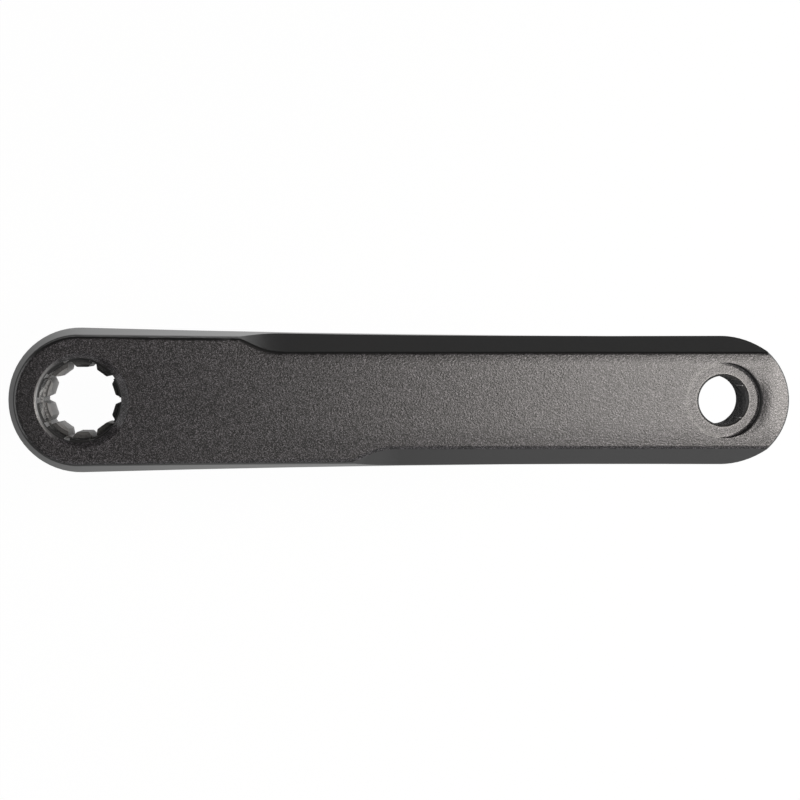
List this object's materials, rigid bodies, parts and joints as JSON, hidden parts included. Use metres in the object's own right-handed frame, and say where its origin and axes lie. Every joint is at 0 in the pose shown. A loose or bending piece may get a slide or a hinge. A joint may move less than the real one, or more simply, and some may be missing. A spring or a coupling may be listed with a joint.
{
  "type": "bicycle crank arm",
  "caption": "Forged straight crank arm with a splined spindle socket at one end, a threaded pedal hole at the other and long flats along its outer face.",
  "frame": {"origin": "on the spindle axis, in the plane of the inner seat that faces the bottom bracket", "axes": "+X along the arm to the pedal axis, +Z along the spindle axis, outward from the bicycle"},
  "size_m": [0.2066, 0.0386, 0.0394],
  "materials": {
    "crank_arm": "black, with a fine grain on the outer face and smooth flats and edges",
    "machined_thread": "machined, grey"
  },
  "bodies": {
    "root": {"crank_arm": "crank_arm"}
  },
  "joints": []
}
